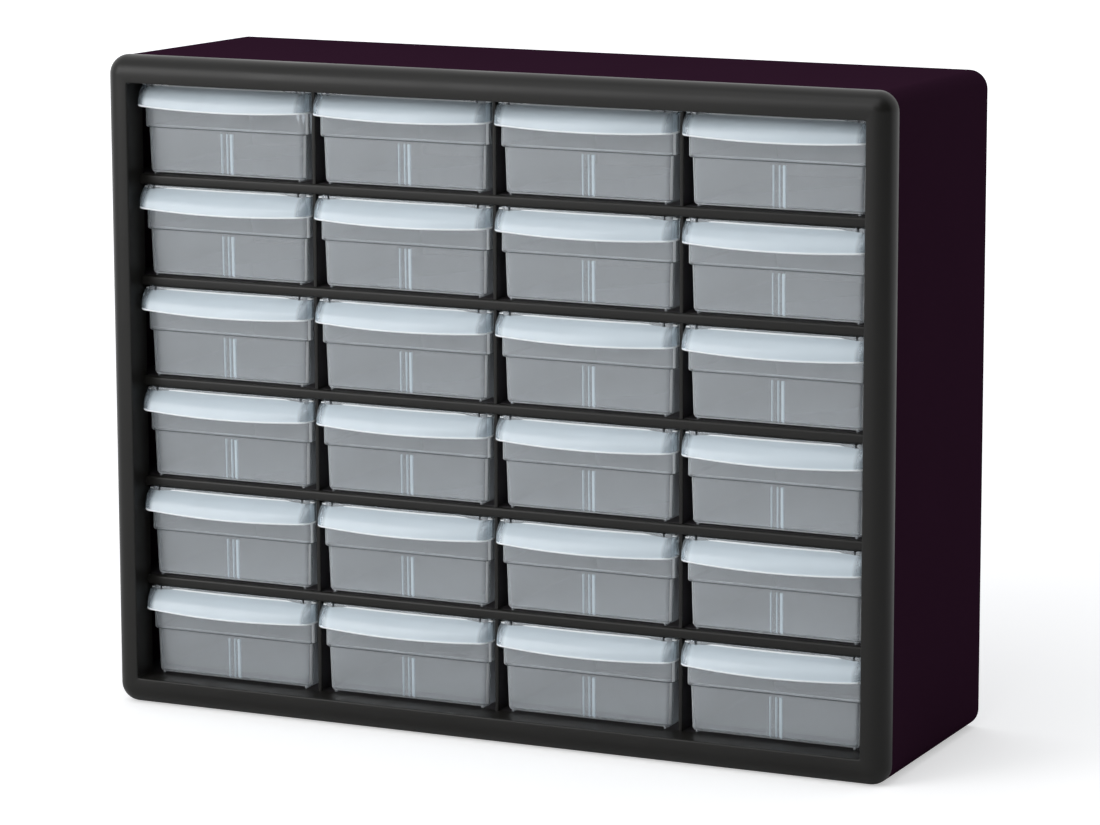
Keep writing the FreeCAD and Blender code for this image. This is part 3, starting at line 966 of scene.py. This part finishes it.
class CABINET_OT_drawers(bpy.types.Operator):
    """Make one drawer and set it into every cell"""

    bl_idname = "cabinet.drawers"
    bl_label = "Drawers"

    def execute(self, context):
        shape = make_drawer_shape()
        for row in range(ROWS):
            for column in range(COLUMNS):
                node = "drawer_r%d_c%d" % (row + 1, column + 1)
                piece = bpy.data.objects.new(node + "_visual", shape.data)
                context.scene.collection.objects.link(piece)
                piece.location = Vector((column_centre(column), 0, cell_floor(row))) * MM
                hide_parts(node)
                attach(piece, node + "_body")
        bpy.data.objects.remove(shape)
        return {"FINISHED"}


# The stage: places and sizes in metres, angles in radians, power in watts

LAMP_TARGET = (0, 0, 0.2)
LAMPS = (
    ("overhead", (-0.2, -1.6, 2.2), 2.0, 12.5),
    ("front_fill", (-1.9, -2.4, 1.2), 1.8, 36),
)
FLAG_WAY = (0.82, -0.57, 0.0)
ROOM_TINT = (0.95, 0.97, 1.0, 1)
CAMERA_PLACE = (1.15965, -2.47605, 0.6933)
CAMERA_TURN = (math.pi / 2 - 0.18289, 0.00263, 0.43577)


def soft_lamp(name, place, target, size, watts):
    """Square area lamp at a place in metres that faces a target."""
    data = bpy.data.lights.new(name, "AREA")
    data.shape = "SQUARE"
    data.size = size
    data.energy = watts
    lamp = bpy.data.objects.new(name, data)
    bpy.context.scene.collection.objects.link(lamp)
    lamp.location = place
    lamp.rotation_mode = "QUATERNION"
    lamp.rotation_quaternion = (Vector(target) - Vector(place)).to_track_quat("-Z", "Y")


def background_seen(tree, along_depth, start, end):
    """One for rays from the camera or through the drawers, and for reflections of what lies behind.

    A reflection counts as lying behind by its place or direction along the depth, from none at start to all
    at end.
    """
    behind = add_node(
        tree, "ShaderNodeMapRange", inputs={"From Min": start, "From Max": end},
        links={"Value": along_depth},
    )
    path = add_node(tree, "ShaderNodeLightPath")
    mirrored = add_node(
        tree, "ShaderNodeMath", operation="MULTIPLY",
        links={0: path.outputs["Is Glossy Ray"], 1: behind.outputs["Result"]},
    )
    straight = add_node(
        tree, "ShaderNodeMath", operation="MAXIMUM",
        links={0: path.outputs["Is Camera Ray"], 1: path.outputs["Is Transmission Ray"]},
    )
    return add_node(
        tree, "ShaderNodeMath", operation="MAXIMUM", links={0: straight.outputs[0], 1: mirrored.outputs[0]}
    ).outputs[0]


def make_floor(size, colour):
    """Pale paper floor: it takes the cabinet's shadow, and is lifted to white where the camera sees it."""
    mesh = bmesh.new()
    bmesh.ops.create_grid(mesh, x_segments=1, y_segments=1, size=size / 2)
    floor = new_piece("floor", mesh)
    material, tree = new_material("white_paper_matt")
    paper = [0.8 * c for c in colour]
    matt = add_node(tree, "ShaderNodeBsdfDiffuse", inputs={"Color": (*paper, 1)})
    lift = add_node(tree, "ShaderNodeEmission", inputs={"Color": (*colour, 1)})
    place = add_node(tree, "ShaderNodeTexCoord").outputs["Object"]
    away = add_node(tree, "ShaderNodeVectorMath", operation="LENGTH", links={0: place})
    # Metres from the cabinet: the lamps light the far floor less, so it is lifted more
    share = add_node(
        tree, "ShaderNodeMapRange",
        inputs={"From Min": 0.4, "From Max": 2.5, "To Min": 0.46, "To Max": 0.72},
        links={"Value": away.outputs["Value"]},
    )
    parts = add_node(tree, "ShaderNodeSeparateXYZ", links={"Vector": place})
    seen = background_seen(tree, parts.outputs["Y"], 0.0, 0.5)
    strength = add_node(
        tree, "ShaderNodeMath", operation="MULTIPLY", links={0: seen, 1: share.outputs["Result"]}
    )
    tree.links.new(strength.outputs[0], lift.inputs["Strength"])
    both = add_node(tree, "ShaderNodeAddShader", links={0: matt.outputs[0], 1: lift.outputs[0]})
    finish_material(tree, both)
    floor.data.materials.append(material)
    return floor


def light_world(colour):
    """Soft light from all round, less from the right, and plain white behind the cabinet."""
    world = bpy.data.worlds.new("studio")
    bpy.context.scene.world = world
    world.use_nodes = True
    tree = world.node_tree
    tree.nodes.clear()
    way = add_node(tree, "ShaderNodeTexCoord").outputs["Generated"]
    parts = add_node(tree, "ShaderNodeSeparateXYZ", links={"Vector": way})
    # A dark flag stands to the right of the front
    flag = add_node(
        tree, "ShaderNodeVectorMath", operation="DOT_PRODUCT", inputs={1: FLAG_WAY}, links={0: way}
    )
    level = add_node(
        tree, "ShaderNodeMapRange", interpolation_type="SMOOTHSTEP",
        inputs={"From Min": 0.15, "From Max": 0.85, "To Min": 0.8, "To Max": 0.05},
        links={"Value": flag.outputs["Value"]},
    )
    room = add_node(
        tree, "ShaderNodeBackground",
        inputs={"Color": ROOM_TINT}, links={"Strength": level.outputs["Result"]},
    )
    plain = add_node(tree, "ShaderNodeBackground", inputs={"Color": (*colour, 1), "Strength": 1.0})
    seen = background_seen(tree, parts.outputs["Y"], -0.1, 0.3)
    both = add_node(tree, "ShaderNodeMixShader", links={0: seen, 1: room.outputs[0], 2: plain.outputs[0]})
    add_node(tree, "ShaderNodeOutputWorld", links={"Surface": both.outputs[0]})


class CABINET_OT_stage(bpy.types.Operator):
    """Make the floor, the lamps, the surroundings and the camera"""

    bl_idname = "cabinet.stage"
    bl_label = "Stage"

    def execute(self, context):
        scene = context.scene
        floor = make_floor(scene.cabinet_sizes.floor_size, scene.cabinet_colours.background)
        light_world(scene.cabinet_colours.background)
        for name, place, size, watts in LAMPS:
            soft_lamp(name, place, LAMP_TARGET, size, watts)
        camera = bpy.data.objects.new("camera", bpy.data.cameras.new("camera"))
        scene.collection.objects.link(camera)
        camera.location = CAMERA_PLACE
        camera.rotation_euler = CAMERA_TURN
        camera.data.sensor_width = 36.0
        camera.data.lens = scene.cabinet_sizes.focal_length
        camera.data.clip_end = 100.0
        scene.camera = camera
        scene.view_settings.view_transform = "Standard"
        return {"FINISHED"}


STEPS = (
    CABINET_OT_front_frame,
    CABINET_OT_case,
    CABINET_OT_inside,
    CABINET_OT_drawers,
    CABINET_OT_stage,
)


class CABINET_PT_sidebar(bpy.types.Panel):
    """Panel that lists the cabinet's pieces, sizes and colours"""

    bl_label = "Cabinet"
    bl_idname = "CABINET_PT_sidebar"
    bl_space_type = "VIEW_3D"
    bl_region_type = "UI"
    bl_category = "Cabinet"

    def draw(self, context):
        layout = self.layout
        for group in (context.scene.cabinet_sizes, context.scene.cabinet_colours):
            for name in group.bl_rna.properties.keys():
                if name not in ("rna_type", "name"):
                    layout.prop(group, name)
        for step in STEPS:
            layout.operator(step.bl_idname)


CLASSES = (CabinetSizes, CabinetColours, *STEPS, CABINET_PT_sidebar)


def register():
    for item in CLASSES:
        bpy.utils.register_class(item)
    bpy.types.Scene.cabinet_sizes = bpy.props.PointerProperty(type=CabinetSizes)
    bpy.types.Scene.cabinet_colours = bpy.props.PointerProperty(type=CabinetColours)


def unregister():
    del bpy.types.Scene.cabinet_colours
    del bpy.types.Scene.cabinet_sizes
    for item in reversed(CLASSES):
        bpy.utils.unregister_class(item)


def main():
    register()
    bpy.ops.cabinet.front_frame()
    bpy.ops.cabinet.case()
    bpy.ops.cabinet.inside()
    bpy.ops.cabinet.drawers()
    bpy.ops.cabinet.stage()


if __name__ == "__main__":
    main()
